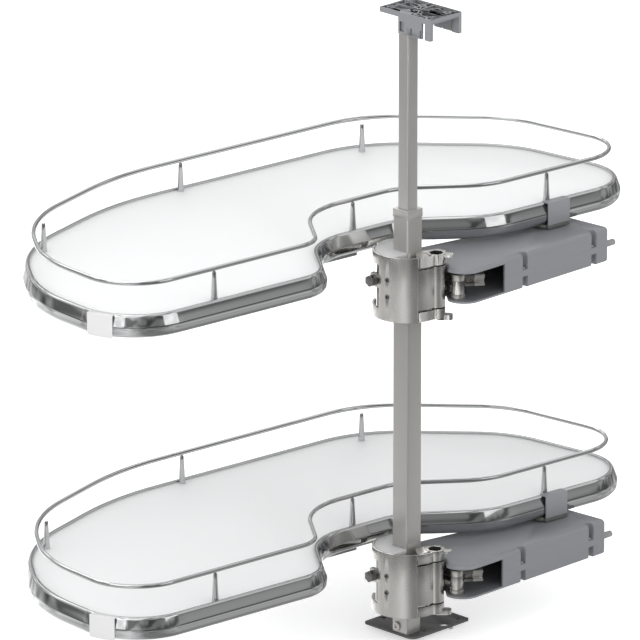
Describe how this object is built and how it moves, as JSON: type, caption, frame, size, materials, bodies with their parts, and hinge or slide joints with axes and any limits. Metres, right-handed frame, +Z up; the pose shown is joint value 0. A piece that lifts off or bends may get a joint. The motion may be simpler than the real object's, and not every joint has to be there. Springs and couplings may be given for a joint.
{
  "type": "swing-out corner tray fitting",
  "caption": "Telescopic square post with kidney-shaped railed trays on swing arms, for a blind corner kitchen cabinet.",
  "frame": {"origin": "on the axis of the post, at the underside of the base plate, which stands on the cabinet floor", "axes": "+Z up the post, +X along the swing arms when shut, into the deep side of the cabinet; the door opening lies on the -Y side"},
  "size_m": [0.8377, 0.4178, 0.782],
  "materials": {
    "dark_coat": "matt dark coat on steel plate",
    "post_steel": "satin silver coat on square tube",
    "clamp_steel": "satin nickel",
    "steel": "zinc plated",
    "chrome": "polished",
    "housing_coat": "smooth grey coat",
    "grey_plastic": "moulded, fine grain",
    "light_plastic": "moulded, smooth",
    "white_plastic": "moulded, glossy",
    "white_board": "white melamine on chipboard",
    "dark_rubber": "soft buffer"
  },
  "bodies": {
    "frame": {"base_plate": "dark_coat", "foot_screw": "steel", "locating_peg": "grey_plastic", "outer_post": "post_steel", "post_collar": "grey_plastic", "collar_screw": "steel", "upper_clamp_shell": "clamp_steel", "upper_clamp_body": "clamp_steel", "upper_clamp_cover": "light_plastic", "upper_clamp_bolt": "steel", "upper_hinge_pin": "steel", "upper_grub_screws": "steel", "upper_swing_pin": "steel", "lower_clamp_shell": "clamp_steel", "lower_clamp_body": "clamp_steel", "lower_clamp_cover": "light_plastic", "lower_clamp_bolt": "steel", "lower_hinge_pin": "steel", "lower_grub_screws": "steel", "lower_swing_pin": "steel"},
    "post_extension": {"inner_post": "post_steel", "top_bracket": "grey_plastic"},
    "upper_arm": {"upper_arm_lever": "steel", "upper_housing_top": "housing_coat", "upper_housing_bottom": "housing_coat", "upper_housing_screws": "steel", "upper_end_buffer": "dark_rubber", "upper_tray_bearing": "white_plastic"},
    "upper_bar": {"upper_control_bar": "steel"},
    "upper_tray": {"upper_tray_board": "white_board", "upper_tray_rim": "chrome", "upper_tray_rail": "chrome", "upper_rail_posts": "chrome", "upper_tray_hub": "steel", "upper_carrier_plate": "steel", "upper_carrier_channel": "housing_coat", "upper_carrier_screws": "steel", "upper_rim_clip": "grey_plastic", "upper_rim_cover": "white_plastic"},
    "lower_arm": {"lower_arm_lever": "steel", "lower_housing_top": "housing_coat", "lower_housing_bottom": "housing_coat", "lower_housing_screws": "steel", "lower_end_buffer": "dark_rubber", "lower_tray_bearing": "white_plastic"},
    "lower_bar": {"lower_control_bar": "steel"},
    "lower_tray": {"lower_tray_board": "white_board", "lower_tray_rim": "chrome", "lower_tray_rail": "chrome", "lower_rail_posts": "chrome", "lower_tray_hub": "steel", "lower_carrier_plate": "steel", "lower_carrier_channel": "housing_coat", "lower_carrier_screws": "steel", "lower_rim_clip": "grey_plastic", "lower_rim_cover": "white_plastic"}
  },
  "joints": [
    {"name": "post_height_slide", "type": "slide", "parent": "frame", "child": "post_extension", "axis": [0, 0, 1], "range_m": [-0.1, 0.08]},
    {"name": "upper_arm_swing", "type": "hinge", "parent": "frame", "child": "upper_arm", "pos_m": [0.03, -0.055, 0.448], "axis": [0, 0, -1], "range_deg": [0, 100]},
    {"name": "upper_tray_turn", "type": "hinge", "parent": "upper_arm", "child": "upper_tray", "pos_m": [0.215, -0.02, 0.448], "axis": [0, 0, -1], "range_deg": [0, 60.1]},
    {"name": "upper_bar_slide", "type": "slide", "parent": "upper_arm", "child": "upper_bar", "axis": [-1, 0, 0], "range_m": [0, 0.0308]},
    {"name": "lower_arm_swing", "type": "hinge", "parent": "frame", "child": "lower_arm", "pos_m": [0.03, -0.055, 0.076], "axis": [0, 0, -1], "range_deg": [0, 100]},
    {"name": "lower_tray_turn", "type": "hinge", "parent": "lower_arm", "child": "lower_tray", "pos_m": [0.215, -0.02, 0.076], "axis": [0, 0, -1], "range_deg": [0, 60.1]},
    {"name": "lower_bar_slide", "type": "slide", "parent": "lower_arm", "child": "lower_bar", "axis": [-1, 0, 0], "range_m": [0, 0.0308]}
  ],
  "couplings": [
    {"joint": "upper_tray_turn", "follows": "upper_arm_swing", "ratio": 0.6},
    {"joint": "upper_bar_slide", "follows": "upper_arm_swing", "m_per_rad": 0.01755},
    {"joint": "lower_tray_turn", "follows": "lower_arm_swing", "ratio": 0.6},
    {"joint": "lower_bar_slide", "follows": "lower_arm_swing", "m_per_rad": 0.01755}
  ]
}
